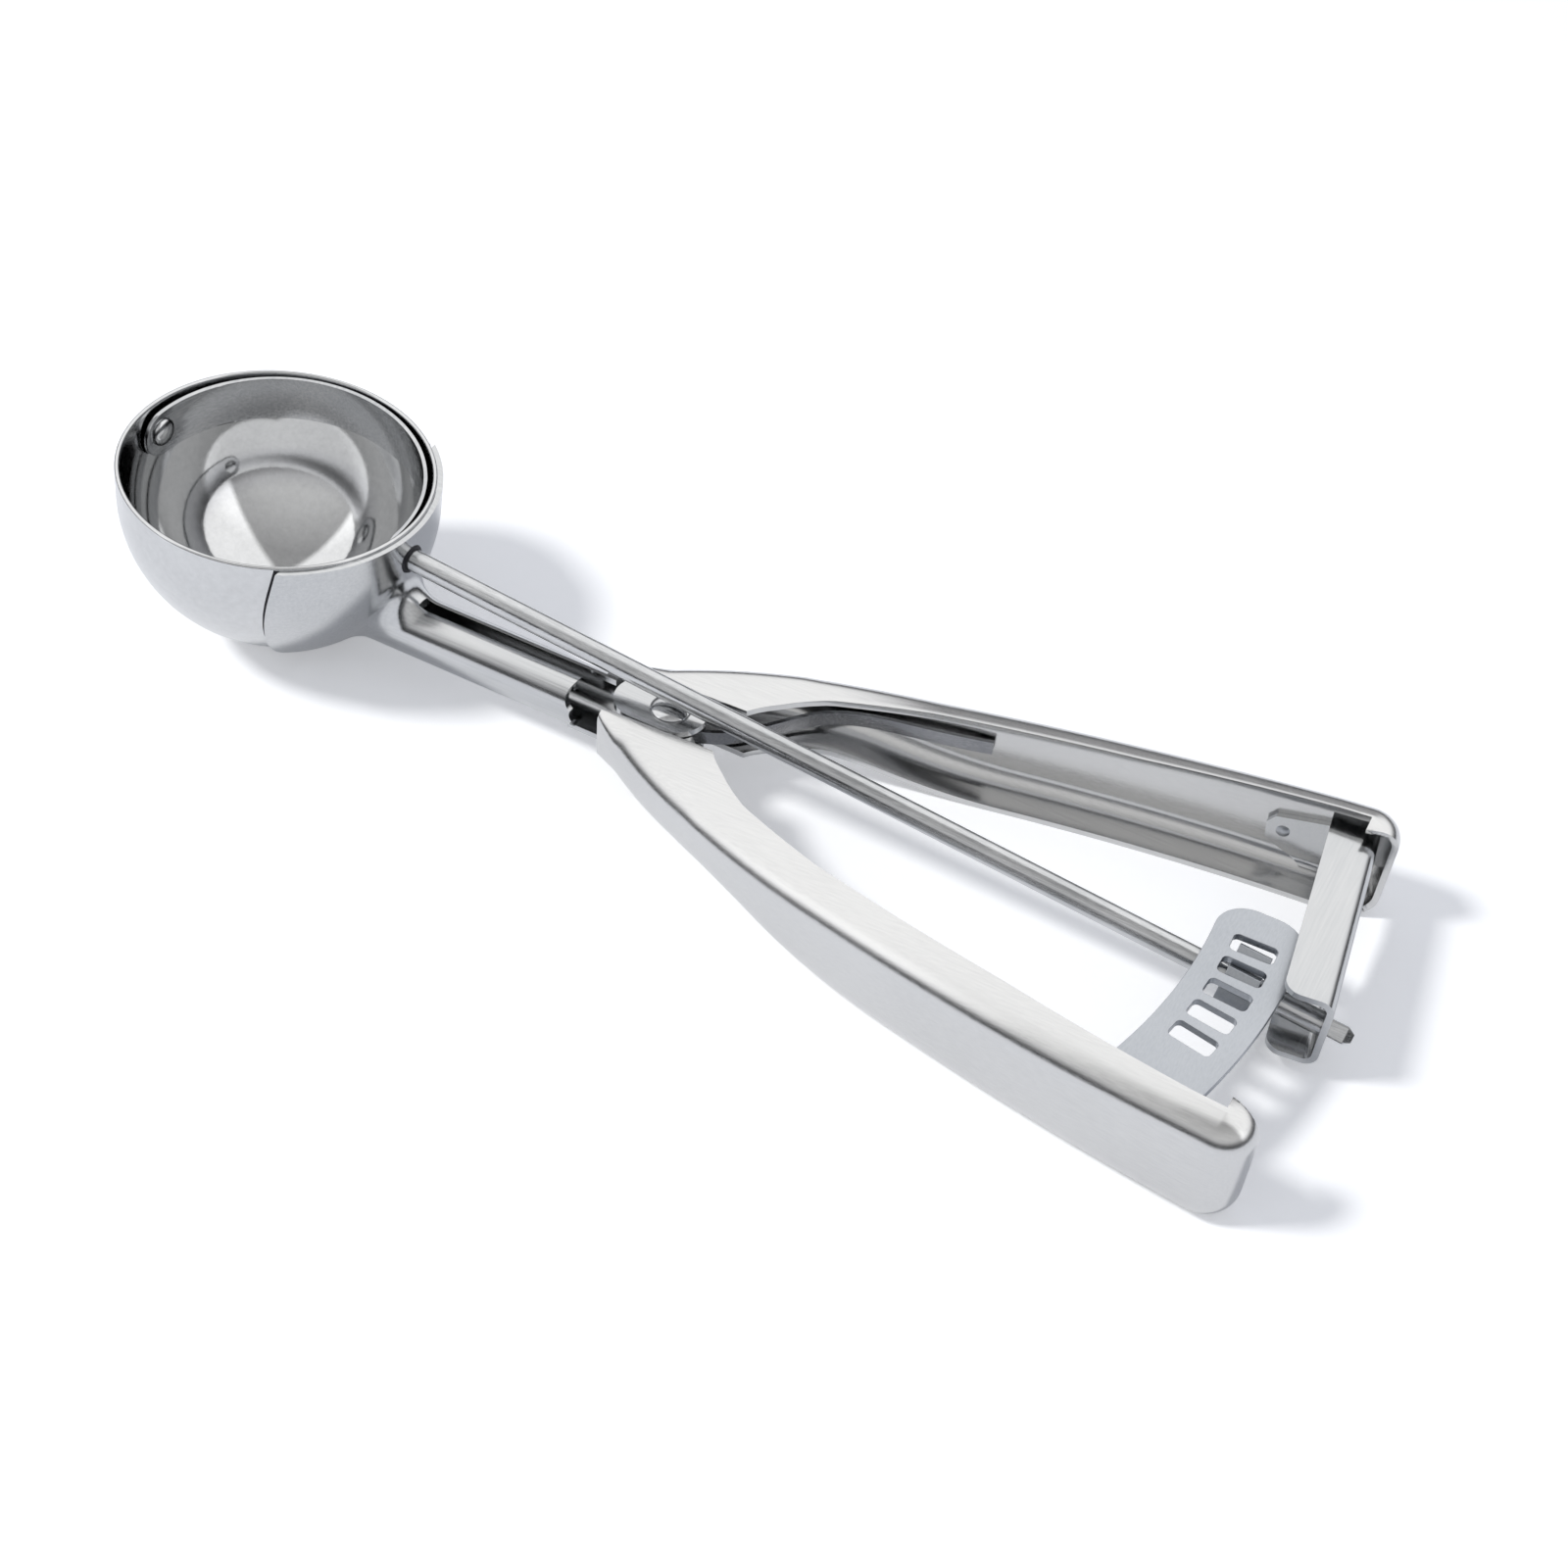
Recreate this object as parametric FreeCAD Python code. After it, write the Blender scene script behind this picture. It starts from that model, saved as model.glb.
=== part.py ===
import FreeCAD, Part
import math
import os

# Lever ice cream scoop in stainless steel: a round bowl with a sweeping scraper blade,
# a pressed neck, two squeeze handles, and a slotted rack that turns the blade rod.
# Millimetres. +X runs from the bowl to the handle ends, +Z is up, and the scoop lies
# as it rests on a table: on the bottom of its bowl and on both handles.

os.makedirs("parts", exist_ok=True)
V = FreeCAD.Vector
Z_AXIS = V(0, 0, 1)
X_AXIS = V(1, 0, 0)
Y_AXIS = V(0, 1, 0)
ORIGIN = V(0, 0, 0)

# Sheet and fits
sheet = 1.0                    # wall of the handles, neck and bracket
running_fit = 0.06             # radial play of a pin or the rod in its hole
side_gap = 0.2                 # play between flat faces that move past each other
swing_gap = 0.6                # room beside the neck ears for the swinging handle
wall_seat = 0.02               # between a welded tab and the wall behind it

# Bowl and its scraper
bowl_radius = 25.0             # outside; a 50 mm bowl
bowl_wall = 0.8
skirt_height = 5.4             # straight wall above the blade axis
blade_gap = 0.35               # blade to bowl
blade_thickness = 0.6
blade_half_width = 4.2
blade_rest_lift = 3.0          # degrees that the parked blade stands above level
rivet_radius = 1.5             # front blade rivet
rivet_head_radius = 2.9
rivet_head_height = 1.3

# Blade rod, pinion and rack
rod_radius = 1.8
rod_slope = 0.1                # fall of the rod towards the handles, mm per mm
rod_end_x = 186.0              # along the rod from the bowl centre
rod_facet_length = 4.2
rod_peen_radius = 2.6
rod_peen_height = 0.9
pinion_teeth = 5
tooth_pitch = 5.1              # along the rack
tooth_tip_height = 0.95        # above the pitch circle
tooth_root_width = 2.4
tooth_shoulder = 1.15          # below the pitch circle
tooth_tip_width = 1.3
pinion_length = 5.0
pinion_hub_radius = 2.75
rack_thickness = 1.2
rack_width = 13.0
rack_reach = 10.0              # past the rod, towards the fixed handle
rack_end_radius = 5.0
slot_count = 5
slot_width = 3.4
slot_length = 6.6
slot_corner = 0.8
rack_tab_height = 5.0
rack_tab_length = 11.0
rack_tab_thickness = 1.1

# Neck
neck_radius = 5.0
neck_height = 9.2              # axis above the table
neck_end_x = 63.0
slit_half_width = 1.1
lip_depth = 1.9
slit_start_x = 27.5
slit_end_x = 60.5
flare_radius = 4.5
collar_wall = 0.9
collar_front_top_x = 15.5      # front edge of the collar at the bowl rim
collar_front_bottom_x = 10.5   # and under the bowl
collar_drop = 0.5              # collar edge below the bowl rim
scallop_radius = 2.6

# Handles, in plan from the pivot backwards
pivot_x = 73.5
ear_front_x = 64.0
ear_rear_x = 79.4
handle_front_x = 64.8
handle_shoulder = (84.0, 18.2)
handle_quarter = (106.0, 25.3)
handle_middle = (135.0, 31.6)
handle_heel = (174.5, 36.9)
heel_radius = 5.2              # round end in plan
handle_front_y = 7.4
handle_front_turn = math.radians(37)   # direction of the wall at its front, in plan
flange_depth = 7.7
flange_start_x = 84.0
flange_run = 4.0               # where the flange edge slants, at the shoulder and at the heel
handle_top_front = 14.3        # height of the top flange at the front
handle_top_rise = 0.04         # mm per mm towards the rear
handle_belly_start_x = 82.0    # where the bottom edge starts down to the table
handle_belly_end_x = 122.0
top_bend = 2.6
bottom_bend = 3.6
pivot_pin_radius = 1.7
pivot_head_radius = 3.3
pivot_head_height = 1.1
eye_radius = 3.4

# Spring, bracket and its rivet
spring_thickness = 0.7
spring_width = 2.4
spring_eye_gap = 0.25
spring_lift = 0.2              # above the lower end of the spacer
spring_leg_x = 117.3
bracket_leaf_z = 15.9          # top of the upper leaf
bracket_bottom_z = 2.9
bracket_wall_x = 181.3         # outer face of the rear wall
bracket_near_y = -4.6
bracket_leaf_depth = 7.6
bracket_bend = 2.2
bracket_turn = 7.3             # degrees that the arm slants forward to the fixed handle
bracket_tongue_y = 6.0         # end of the lower leaf under the rod
bracket_arm_low_z = 6.5        # lower edge of the arm at the fixed handle
bracket_corner = 2.5
bracket_flap_thickness = 1.0
flap_outline = [(160.2, 8.6), (161.4, 10.2), (170.2, 11.8), (171.6, 14.6), (175.0, 15.4), (175.0, 2.4), (167.0, 2.4),
                (160.7, 5.4)]  # side view of the flap on the fixed handle
flap_pip = (163.0, 7.7)
pip_radius = 1.1
pip_height = 0.35

# Derived places
pitch_angle = math.degrees(math.atan(rod_slope))
pitch_radius = pinion_teeth * tooth_pitch / (2 * math.pi)
inner_radius = bowl_radius - bowl_wall
blade_outer = inner_radius - blade_gap
blade_inner = blade_outer - blade_thickness
ear_top = neck_height + neck_radius
ear_bottom = neck_height - neck_radius
lug_top = ear_top - sheet - side_gap
lug_bottom = ear_bottom + sheet + side_gap


def rod_height(x):
    """Height of the rod axis above the table at a distance x from the bowl centre."""
    return bowl_radius - rod_slope * x


def handle_top(x):
    """Height of the handles' top flange."""
    return handle_top_front + handle_top_rise * (x - ear_front_x)


def box(x0, x1, y0, y1, z0, z1):
    return Part.makeBox(x1 - x0, y1 - y0, z1 - z0, V(x0, y0, z0))


def post(x, y, radius, z0, z1):
    return Part.makeCylinder(radius, z1 - z0, V(x, y, z0), Z_AXIS)


def bar(x0, x1, radius):
    """Round bar on the rod axis, before it is laid down."""
    return Part.makeCylinder(radius, x1 - x0, V(x0, 0, 0), X_AXIS)


def lay(shape):
    """Take a shape from the bowl's own frame to the scoop as it lies on the table."""
    shape = shape.copy()
    shape.rotate(ORIGIN, Y_AXIS, pitch_angle)
    shape.translate(V(0, 0, bowl_radius))
    return shape


def prism(points, z0, z1):
    wire = Part.makePolygon([V(x, y, z0) for x, y in points] + [V(points[0][0], points[0][1], z0)])
    return Part.Face(wire).extrude(V(0, 0, z1 - z0))


def racetrack(x0, x1, radius, z0, z1):
    """Plate with two round ends, from x0 to x1 along the middle line."""
    plate = box(x0 + radius, x1 - radius, -radius, radius, z0, z1)
    plate = plate.fuse(post(x0 + radius, 0, radius, z0, z1))
    return plate.fuse(post(x1 - radius, 0, radius, z0, z1))


def dome(x, y, z, radius, height, up):
    """Low round rivet head standing on z, upwards or downwards."""
    sphere_radius = (radius ** 2 + height ** 2) / (2 * height)
    ball = Part.makeSphere(sphere_radius, V(x, y, z + up * (height - sphere_radius)))
    keep = post(x, y, radius, min(z, z + up * height), max(z, z + up * height))
    return ball.common(keep)


def mirrored(shape):
    return shape.mirror(ORIGIN, Y_AXIS)


nodes = {}


def keep(name, shape):
    shape = shape.removeSplitter()
    nodes[name] = shape


# Bowl: a drawn half ball with a short straight skirt, and two holes on the blade axis
def cup_profile(radius, top):
    """Half section of a round-bottomed cup body, a face in the XZ plane."""
    low = V(0, 0, -radius)
    middle = V(radius * math.sin(math.pi / 4), 0, -radius * math.cos(math.pi / 4))
    side = V(radius, 0, 0)
    edges = [
        Part.Arc(low, middle, side).toShape(),
        Part.makeLine(side, V(radius, 0, top)),
        Part.makeLine(V(radius, 0, top), V(0, 0, top)),
        Part.makeLine(V(0, 0, top), low),
    ]
    return Part.Face(Part.Wire(edges))


def cup_body(radius, top):
    return cup_profile(radius, top).revolve(ORIGIN, Z_AXIS, 360)


bowl = cup_body(bowl_radius, skirt_height).cut(cup_body(inner_radius, skirt_height + sheet))
bowl = bowl.cut(bar(0, bowl_radius + sheet, rod_radius + running_fit))
bowl = bowl.cut(bar(-bowl_radius - sheet, 0, rivet_radius))
keep("bowl", lay(bowl))

# Scraper blade: a strip of a sphere with round lugs about its two pivots
blade = Part.makeSphere(blade_outer).cut(Part.makeSphere(blade_inner))
strip = box(-bowl_radius, bowl_radius, 0, bowl_radius, -blade_half_width, blade_half_width)
strip = strip.fuse(bar(-bowl_radius, bowl_radius, blade_half_width))
blade = blade.common(strip)
blade = blade.cut(bar(0, bowl_radius, rod_radius))
blade = blade.cut(bar(-bowl_radius, 0, rivet_radius + running_fit))
blade.rotate(ORIGIN, X_AXIS, blade_rest_lift)
keep("scraper_blade", lay(blade))

# Front blade rivet: domed head outside the bowl, peened head inside the blade
rivet_out = bowl_radius - 0.15
head = dome(0, 0, 0, rivet_head_radius, rivet_head_height, 1)
head.rotate(ORIGIN, Y_AXIS, -90)
head.translate(V(-rivet_out, 0, 0))
rivet_in = blade_inner - side_gap
peen = dome(0, 0, 0, rivet_head_radius - 0.5, rivet_head_height - 0.3, 1)
peen.rotate(ORIGIN, Y_AXIS, 90)
peen.translate(V(-rivet_in, 0, 0))
front_rivet = bar(-rivet_out, -rivet_in, rivet_radius).fuse(head).fuse(peen)
front_rivet = front_rivet.cut(bowl)
keep("blade_front_rivet", lay(front_rivet))

# Blade rod: peened over inside the blade, flattened to a square end behind the bracket
rod_front = blade_inner - side_gap * 1.3
rod = bar(rod_front, rod_end_x, rod_radius)
rod_peen = dome(0, 0, 0, rod_peen_radius, rod_peen_height, 1)
rod_peen.rotate(ORIGIN, Y_AXIS, -90)
rod_peen.translate(V(rod_front, 0, 0))
rod = rod.fuse(rod_peen)
facet = box(rod_end_x - rod_facet_length, rod_end_x + sheet, -rod_radius, rod_radius, rod_radius * 0.72, rod_radius * 2)
for turn in range(4):
    side = facet.copy()
    side.rotate(ORIGIN, X_AXIS, 45 + 90 * turn)
    rod = rod.cut(side)
rod_cone = Part.makeCone(rod_radius, rod_radius * 0.55, 1.1, V(rod_end_x - 1.1, 0, 0), X_AXIS)
rod = rod.cut(bar(rod_end_x - 1.1, rod_end_x + sheet, rod_radius * 1.5).cut(rod_cone))
keep("blade_rod", lay(rod))

# Pinion: a hub on the rod with five tapered teeth that enter the slots of the rack
rack_mid_radius = 94.5
pinion_mid = (pivot_x + rack_mid_radius) / math.cos(math.atan(rod_slope))
pinion_x0 = pinion_mid - pinion_length / 2
tooth_tip = pitch_radius + tooth_tip_height
tooth = Part.Face(Part.makePolygon([
    V(pinion_x0, -tooth_root_width / 2, pinion_hub_radius * 0.7),
    V(pinion_x0, tooth_root_width / 2, pinion_hub_radius * 0.7),
    V(pinion_x0, tooth_root_width / 2, pitch_radius - tooth_shoulder),
    V(pinion_x0, tooth_tip_width / 2, tooth_tip),
    V(pinion_x0, -tooth_tip_width / 2, tooth_tip),
    V(pinion_x0, -tooth_root_width / 2, pitch_radius - tooth_shoulder),
    V(pinion_x0, -tooth_root_width / 2, pinion_hub_radius * 0.7),
])).extrude(V(pinion_length, 0, 0))
pinion = bar(pinion_x0, pinion_x0 + pinion_length, pinion_hub_radius)
for index in range(pinion_teeth):
    one = tooth.copy()
    one.rotate(ORIGIN, X_AXIS, 360.0 / pinion_teeth * (index + 0.5))
    pinion = pinion.fuse(one)
pinion = pinion.cut(bar(pinion_x0 - sheet, pinion_x0 + pinion_length + sheet, rod_radius))
keep("pinion", lay(pinion))

# Neck: collar cup behind the bowl, slit tube with turned-in lips, and two pivot ears
collar = cup_body(bowl_radius + collar_wall, skirt_height - collar_drop)
far = 4 * bowl_radius
collar_side = Part.Face(Part.makePolygon([
    V(collar_front_top_x, -far, skirt_height),
    V(far, -far, skirt_height),
    V(far, -far, -far),
    V(collar_front_bottom_x - (far - bowl_radius) * (collar_front_top_x - collar_front_bottom_x)
      / (skirt_height + bowl_radius), -far, -far),
    V(collar_front_top_x, -far, skirt_height),
])).extrude(V(0, 2 * far, 0))
collar = lay(collar.common(collar_side))
tube = Part.makeCylinder(neck_radius, neck_end_x - bowl_radius * 0.6, V(bowl_radius * 0.6, 0, neck_height), X_AXIS)
shank = collar.fuse(tube)
joint_edges = []
for edge in shank.Edges:
    middle = edge.valueAt((edge.FirstParameter + edge.LastParameter) / 2)
    off_axis = math.hypot(middle.y, middle.z - neck_height)
    if abs(off_axis - neck_radius) < 0.05 and middle.x < slit_start_x and edge.Length > 2:
        joint_edges.append(edge)
shank = shank.makeFillet(flare_radius, joint_edges)
shank = shank.cut(lay(cup_body(bowl_radius, skirt_height + sheet)))
shank = shank.cut(Part.makeCylinder(neck_radius - sheet, far, V(0, 0, neck_height), X_AXIS))
lips = box(slit_start_x, slit_end_x, -slit_half_width - sheet * 0.8, slit_half_width + sheet * 0.8,
           ear_top - sheet - lip_depth, ear_top - sheet * 0.4)
shank = shank.fuse(lips)
shank = shank.cut(box(slit_start_x, neck_end_x + sheet, -slit_half_width, slit_half_width, neck_height, ear_top + sheet))
shank = shank.cut(box(slit_end_x, neck_end_x + sheet, -neck_radius, slit_half_width, ear_bottom + sheet, ear_top + sheet))
for step, (scallop_x, scallop_z) in enumerate([(-3.4, 7.8), (-2.3, 4.9), (-2.6, 1.8)]):
    centre = V(slit_end_x + scallop_x + scallop_radius, -neck_radius * 2, ear_bottom + scallop_z)
    shank = shank.cut(Part.makeCylinder(scallop_radius, neck_radius * 2, centre, Y_AXIS))
top_ear = racetrack(ear_front_x, ear_rear_x, neck_radius, ear_top - sheet, ear_top)
bottom_ear = racetrack(ear_front_x, ear_rear_x, neck_radius, ear_bottom, ear_bottom + sheet)
bottom_ear = bottom_ear.fuse(box(slit_end_x - 4, pivot_x, -neck_radius * 0.55, neck_radius * 0.55, ear_bottom, ear_bottom + sheet))
web = box(neck_end_x - 3, pivot_x + 3.5, neck_radius - sheet, neck_radius, ear_bottom, ear_top)
shank = shank.fuse(top_ear).fuse(bottom_ear).fuse(web)
shank = shank.cut(post(pivot_x, 0, pivot_pin_radius, 0, ear_top + sheet))
shank = shank.cut(lay(bar(0, 2 * bowl_radius, rod_radius + running_fit)))
keep("neck_shank", shank)


# Handles: drawn channels, open towards each other, with a round closed heel
def wall_arcs():
    """Arcs of the outer wall in plan, each tangent to the last, as (centre, radius, start angle, end angle)."""
    base = [(handle_front_x, handle_front_y), handle_shoulder, handle_quarter, handle_middle, handle_heel]
    heading = V(math.cos(handle_front_turn), math.sin(handle_front_turn), 0)
    arcs = []
    for start, end in zip(base, base[1:]):
        start = V(*start, 0)
        normal = V(heading.y, -heading.x, 0)
        chord = V(*end, 0) - start
        radius = chord.Length ** 2 / (2 * chord.dot(normal))
        centre = start + normal * radius
        first = math.atan2(start.y - centre.y, start.x - centre.x)
        last = math.atan2(end[1] - centre.y, end[0] - centre.x)
        arcs.append((centre, radius, first, last))
        heading = V(math.sin(last), -math.cos(last), 0)
    return arcs


wall = wall_arcs()
wall_end_angle = wall[-1][3]
heel_centre = V(handle_heel[0] - heel_radius * math.cos(wall_end_angle),
                handle_heel[1] - heel_radius * math.sin(wall_end_angle), 0)
handle_end_x = heel_centre.x + heel_radius


def on_circle(centre, radius, angle):
    return centre + V(math.cos(angle), math.sin(angle), 0) * radius


def wall_edges(inset, start_x, arcs):
    """Edges of the wall in plan, moved in by the inset, from start_x on the first of the arcs."""
    edges = []
    for number, (centre, radius, first, last) in enumerate(arcs):
        if number == 0:
            first = math.acos((start_x - centre.x) / (radius - inset))
        spots = [on_circle(centre, radius - inset, angle) for angle in (first, (first + last) / 2, last)]
        edges.append(Part.Arc(*spots).toShape())
    return edges


def outer_y(x):
    """Outer wall in plan at x."""
    for centre, radius, first, last in wall:
        if x <= centre.x + radius * math.cos(last):
            break
    return centre.y + math.sqrt(radius ** 2 - (x - centre.x) ** 2)


def closed_plan(edges, corners):
    """Face between a row of edges, followed by straight lines from the last edge over the corners."""
    spots = [edges[-1].Vertexes[-1].Point] + corners + [edges[0].Vertexes[0].Point]
    for start, end in zip(spots, spots[1:]):
        edges.append(Part.makeLine(start, end))
    return Part.Face(Part.Wire(edges))


def open_plan(inset):
    """Plan face of a handle, moved in from its outer wall and open far past the middle."""
    front_x = handle_front_x + inset
    edges = wall_edges(inset, front_x, wall)
    turn = heel_radius - inset
    nose = [on_circle(heel_centre, turn, wall_end_angle * share) for share in (1, 0.5, 0)]
    edges.append(Part.Arc(*nose).toShape())
    return closed_plan(edges, [V(nose[2].x, -bowl_radius, 0), V(front_x, -bowl_radius, 0)])


def free_side(inner_limit):
    """Everything on the open side of a handle's flange edges, as a prism."""
    edges = wall_edges(flange_depth, flange_start_x + flange_run, wall[1:])
    heel_cut = V(handle_end_x + flange_run, edges[-1].Vertexes[-1].Point.y + flange_run, 0)
    corners = [
        heel_cut,
        V(heel_cut.x, -2 * bowl_radius, 0),
        V(handle_front_x - flange_run, -2 * bowl_radius, 0),
        V(handle_front_x - flange_run, inner_limit, 0),
        V(flange_start_x, inner_limit, 0),
    ]
    face = closed_plan(edges, corners)
    face.translate(V(0, 0, -bowl_radius))
    return face.extrude(V(0, 0, 3 * bowl_radius))


def handle_side(inset):
    """Side view of a handle as a prism across its width."""
    x0 = handle_front_x - 5
    x1 = handle_end_x + 5
    low = lug_bottom + inset
    floor = inset
    half = (handle_belly_end_x - handle_belly_start_x) / 2
    drop = (low - floor) / 2
    big = (half ** 2 + drop ** 2) / (2 * drop)
    quarter_drop = big - math.sqrt(big ** 2 - (half / 2) ** 2)
    middle_x = handle_belly_start_x + half
    a = V(handle_belly_start_x, 0, low)
    b = V(middle_x, 0, low - drop)
    c = V(handle_belly_end_x, 0, floor)
    edges = [
        Part.makeLine(V(x0, 0, low), a),
        Part.Arc(a, V(handle_belly_start_x + half / 2, 0, low - quarter_drop), b).toShape(),
        Part.Arc(b, V(middle_x + half / 2, 0, floor + quarter_drop), c).toShape(),
        Part.makeLine(c, V(x1, 0, floor)),
        Part.makeLine(V(x1, 0, floor), V(x1, 0, handle_top(x1) - inset)),
        Part.makeLine(V(x1, 0, handle_top(x1) - inset), V(x0, 0, handle_top(x0) - inset)),
        Part.makeLine(V(x0, 0, handle_top(x0) - inset), V(x0, 0, low)),
    ]
    return Part.Face(Part.Wire(edges)).extrude(V(0, 4 * bowl_radius, 0))


def bent_edges(shape, inset, top):
    """Edges where the outer wall and heel meet the top or the bottom flange."""
    found = []
    for edge in shape.Edges:
        if edge.Length < 1.5:
            continue
        spots = []
        for share in (0.25, 0.5, 0.75):
            u = edge.FirstParameter + share * (edge.LastParameter - edge.FirstParameter)
            spots.append(edge.valueAt(u))
        level = 0
        for spot in spots:
            if top and abs(spot.z - (handle_top(spot.x) - inset)) < 0.02:
                level += 1
            if not top and spot.z < lug_bottom + inset + 0.02:
                level += 1
        if level < 3:
            continue
        mid = spots[1]
        if mid.x < handle_heel[0] - 2:
            on_wall = mid.x > handle_front_x + inset + 0.5 and abs(mid.y - outer_y(mid.x)) < inset * 1.6 + 0.5
        else:
            on_wall = mid.y > handle_heel[1] - flange_depth * 0.7
        vertical = abs(spots[0].z - spots[2].z) > 6
        if on_wall and not vertical:
            found.append(edge)
    return found


def handle_block(inset):
    plan = open_plan(inset)
    plan.translate(V(0, 0, -bowl_radius))
    side = handle_side(inset)
    side.translate(V(0, -1.5 * bowl_radius, 0))
    block = plan.extrude(V(0, 0, 3 * bowl_radius)).common(side)
    block = block.makeFillet(top_bend - inset, bent_edges(block, inset, True))
    return block.makeFillet(bottom_bend - inset, bent_edges(block, inset, False))


def handle_shell(inner_limit):
    return handle_block(0).cut(handle_block(sheet)).cut(free_side(inner_limit))


fixed = handle_shell(neck_radius)
keep("fixed_handle", fixed)

moving = handle_shell(neck_radius + swing_gap)
side_y = neck_radius + swing_gap
lug_points = [(pivot_x - 6.5, side_y + sheet), (pivot_x - eye_radius, 0), (pivot_x + eye_radius, 0),
              (flange_start_x - 1.5, side_y + sheet)]
for low in (lug_top - sheet, lug_bottom):
    lug = prism(lug_points, low, low + sheet).fuse(post(pivot_x, 0, eye_radius, low, low + sheet))
    moving = moving.fuse(lug)
riser = box(pivot_x - 6.5, flange_start_x - 1.5, side_y, side_y + sheet, lug_top - sheet, handle_top(pivot_x) - sheet * 0.5)
moving = moving.fuse(riser)
moving = moving.cut(post(pivot_x, 0, pivot_pin_radius + running_fit, -5, 30))
keep("moving_handle", mirrored(moving))

# Pivot rivet through both ears, with a spacer barrel that the spring's eye goes round
rivet = post(pivot_x, 0, pivot_pin_radius, ear_bottom, ear_top)
rivet = rivet.fuse(dome(pivot_x, 0, ear_top, pivot_head_radius, pivot_head_height, 1))
rivet = rivet.fuse(dome(pivot_x, 0, ear_bottom, pivot_head_radius, pivot_head_height, -1))
keep("pivot_rivet", rivet)
spacer_radius = pivot_pin_radius + 0.5
spacer_low = lug_bottom + sheet + side_gap
spacer_high = lug_top - sheet - side_gap
spacer = post(pivot_x, 0, spacer_radius, spacer_low, spacer_high)
spacer = spacer.cut(post(pivot_x, 0, pivot_pin_radius, spacer_low - 1, spacer_high + 1))
keep("pivot_spacer", spacer)

# Handle spring: one strip with an eye about the pivot and a leg along each handle
eye_mid = spacer_radius + spring_eye_gap + spring_thickness / 2
spring_z0 = spacer_low + spring_lift
spring_z1 = spring_z0 + spring_width


def strip_path(points, width, z0, z1):
    """Strip of even width along a smooth line through the points."""
    line = Part.BSplineCurve()
    line.interpolate([V(x, y, 0) for x, y in points])
    sides = []
    count = 14
    for sign in (1, -1):
        row = []
        for k in range(count + 1):
            u = line.FirstParameter + (line.LastParameter - line.FirstParameter) * k / count
            tangent = line.tangent(u)[0]
            row.append(line.value(u) + V(-tangent.y, tangent.x, 0) * (sign * width / 2) + V(0, 0, z0))
        edge = Part.BSplineCurve()
        edge.interpolate(row)
        sides.append((edge.toShape(), row))
    first, second = sides
    wire = Part.Wire([first[0], Part.makeLine(first[1][-1], second[1][-1]), second[0],
                      Part.makeLine(second[1][0], first[1][0])])
    return Part.Face(wire).extrude(V(0, 0, z1 - z0))


wall_off = sheet + spring_thickness / 2 + 0.35
leg_turn = 1.05                # radians: where the eye runs off into the legs
leg_points = [(pivot_x + eye_mid * math.cos(leg_turn), eye_mid * math.sin(leg_turn))]
leg_points.append((pivot_x + 9.0, 6.6))
for x, extra in ((92.0, 1.5), (104.0, 0.5), (spring_leg_x, 0.15)):
    leg_points.append((x, outer_y(x) - wall_off - extra))
leg = strip_path(leg_points, spring_thickness, spring_z0, spring_z1)
eye = post(pivot_x, 0, eye_mid + spring_thickness / 2, spring_z0, spring_z1)
eye = eye.cut(post(pivot_x, 0, eye_mid - spring_thickness / 2, spring_z0 - 1, spring_z1 + 1))
mouth = prism([(pivot_x, 0), (pivot_x + 20 * math.cos(leg_turn), 20 * math.sin(leg_turn)),
               (pivot_x + 20 * math.cos(leg_turn), -20 * math.sin(leg_turn))], spring_z0 - 1, spring_z1 + 1)
eye = eye.cut(mouth)
keep("handle_spring", eye.fuse(leg).fuse(mirrored(leg)))

# Rack plate: a sector about the pivot, with one slot for each tooth space
rack_z = rod_height(pivot_x + rack_mid_radius) + pitch_radius
rack_z0 = rack_z - rack_thickness / 2
rack_z1 = rack_z + rack_thickness / 2
rack_inner = rack_mid_radius - rack_width / 2
rack_outer = rack_mid_radius + rack_width / 2
slot_angle = math.degrees(tooth_pitch / rack_mid_radius)
rack = post(pivot_x, 0, rack_outer, rack_z0, rack_z1).cut(post(pivot_x, 0, rack_inner, rack_z0 - 1, rack_z1 + 1))
inside_moving = mirrored(handle_block(sheet + wall_seat))
rack = rack.common(box(pivot_x, pivot_x + rack_outer + 1, -2 * bowl_radius, rack_reach, rack_z0, rack_z1))
rack = rack.common(inside_moving)
tip_edges = []
for edge in rack.Edges:
    a, b = edge.Vertexes[0].Point, edge.Vertexes[-1].Point
    if abs(a.x - b.x) < 0.01 and abs(a.y - b.y) < 0.01 and a.y > 0:
        tip_edges.append(edge)
rack = rack.makeFillet(rack_end_radius, tip_edges)
slot_cut = box(rack_mid_radius - slot_length / 2, rack_mid_radius + slot_length / 2,
               -slot_width / 2, slot_width / 2, rack_z0 - 1, rack_z1 + 1)
upright = [edge for edge in slot_cut.Edges if abs(edge.tangentAt(edge.FirstParameter).z) > 0.9]
slot_cut = slot_cut.makeFillet(slot_corner, upright)
for index in range(slot_count):
    one = slot_cut.copy()
    one.rotate(ORIGIN, Z_AXIS, (0.5 - index) * slot_angle)
    one.translate(V(pivot_x, 0, 0))
    rack = rack.cut(one)
tab_x0 = pivot_x + rack_inner - 5
tab_x1 = tab_x0 + rack_tab_length
tab = inside_moving.cut(mirrored(handle_block(sheet + wall_seat + rack_tab_thickness)))
tab = tab.common(box(tab_x0, tab_x1, -2 * bowl_radius, -bowl_radius * 0.8, rack_z0 - rack_tab_height, rack_z1))
rack = rack.fuse(tab)
keep("rack_plate", rack)

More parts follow.
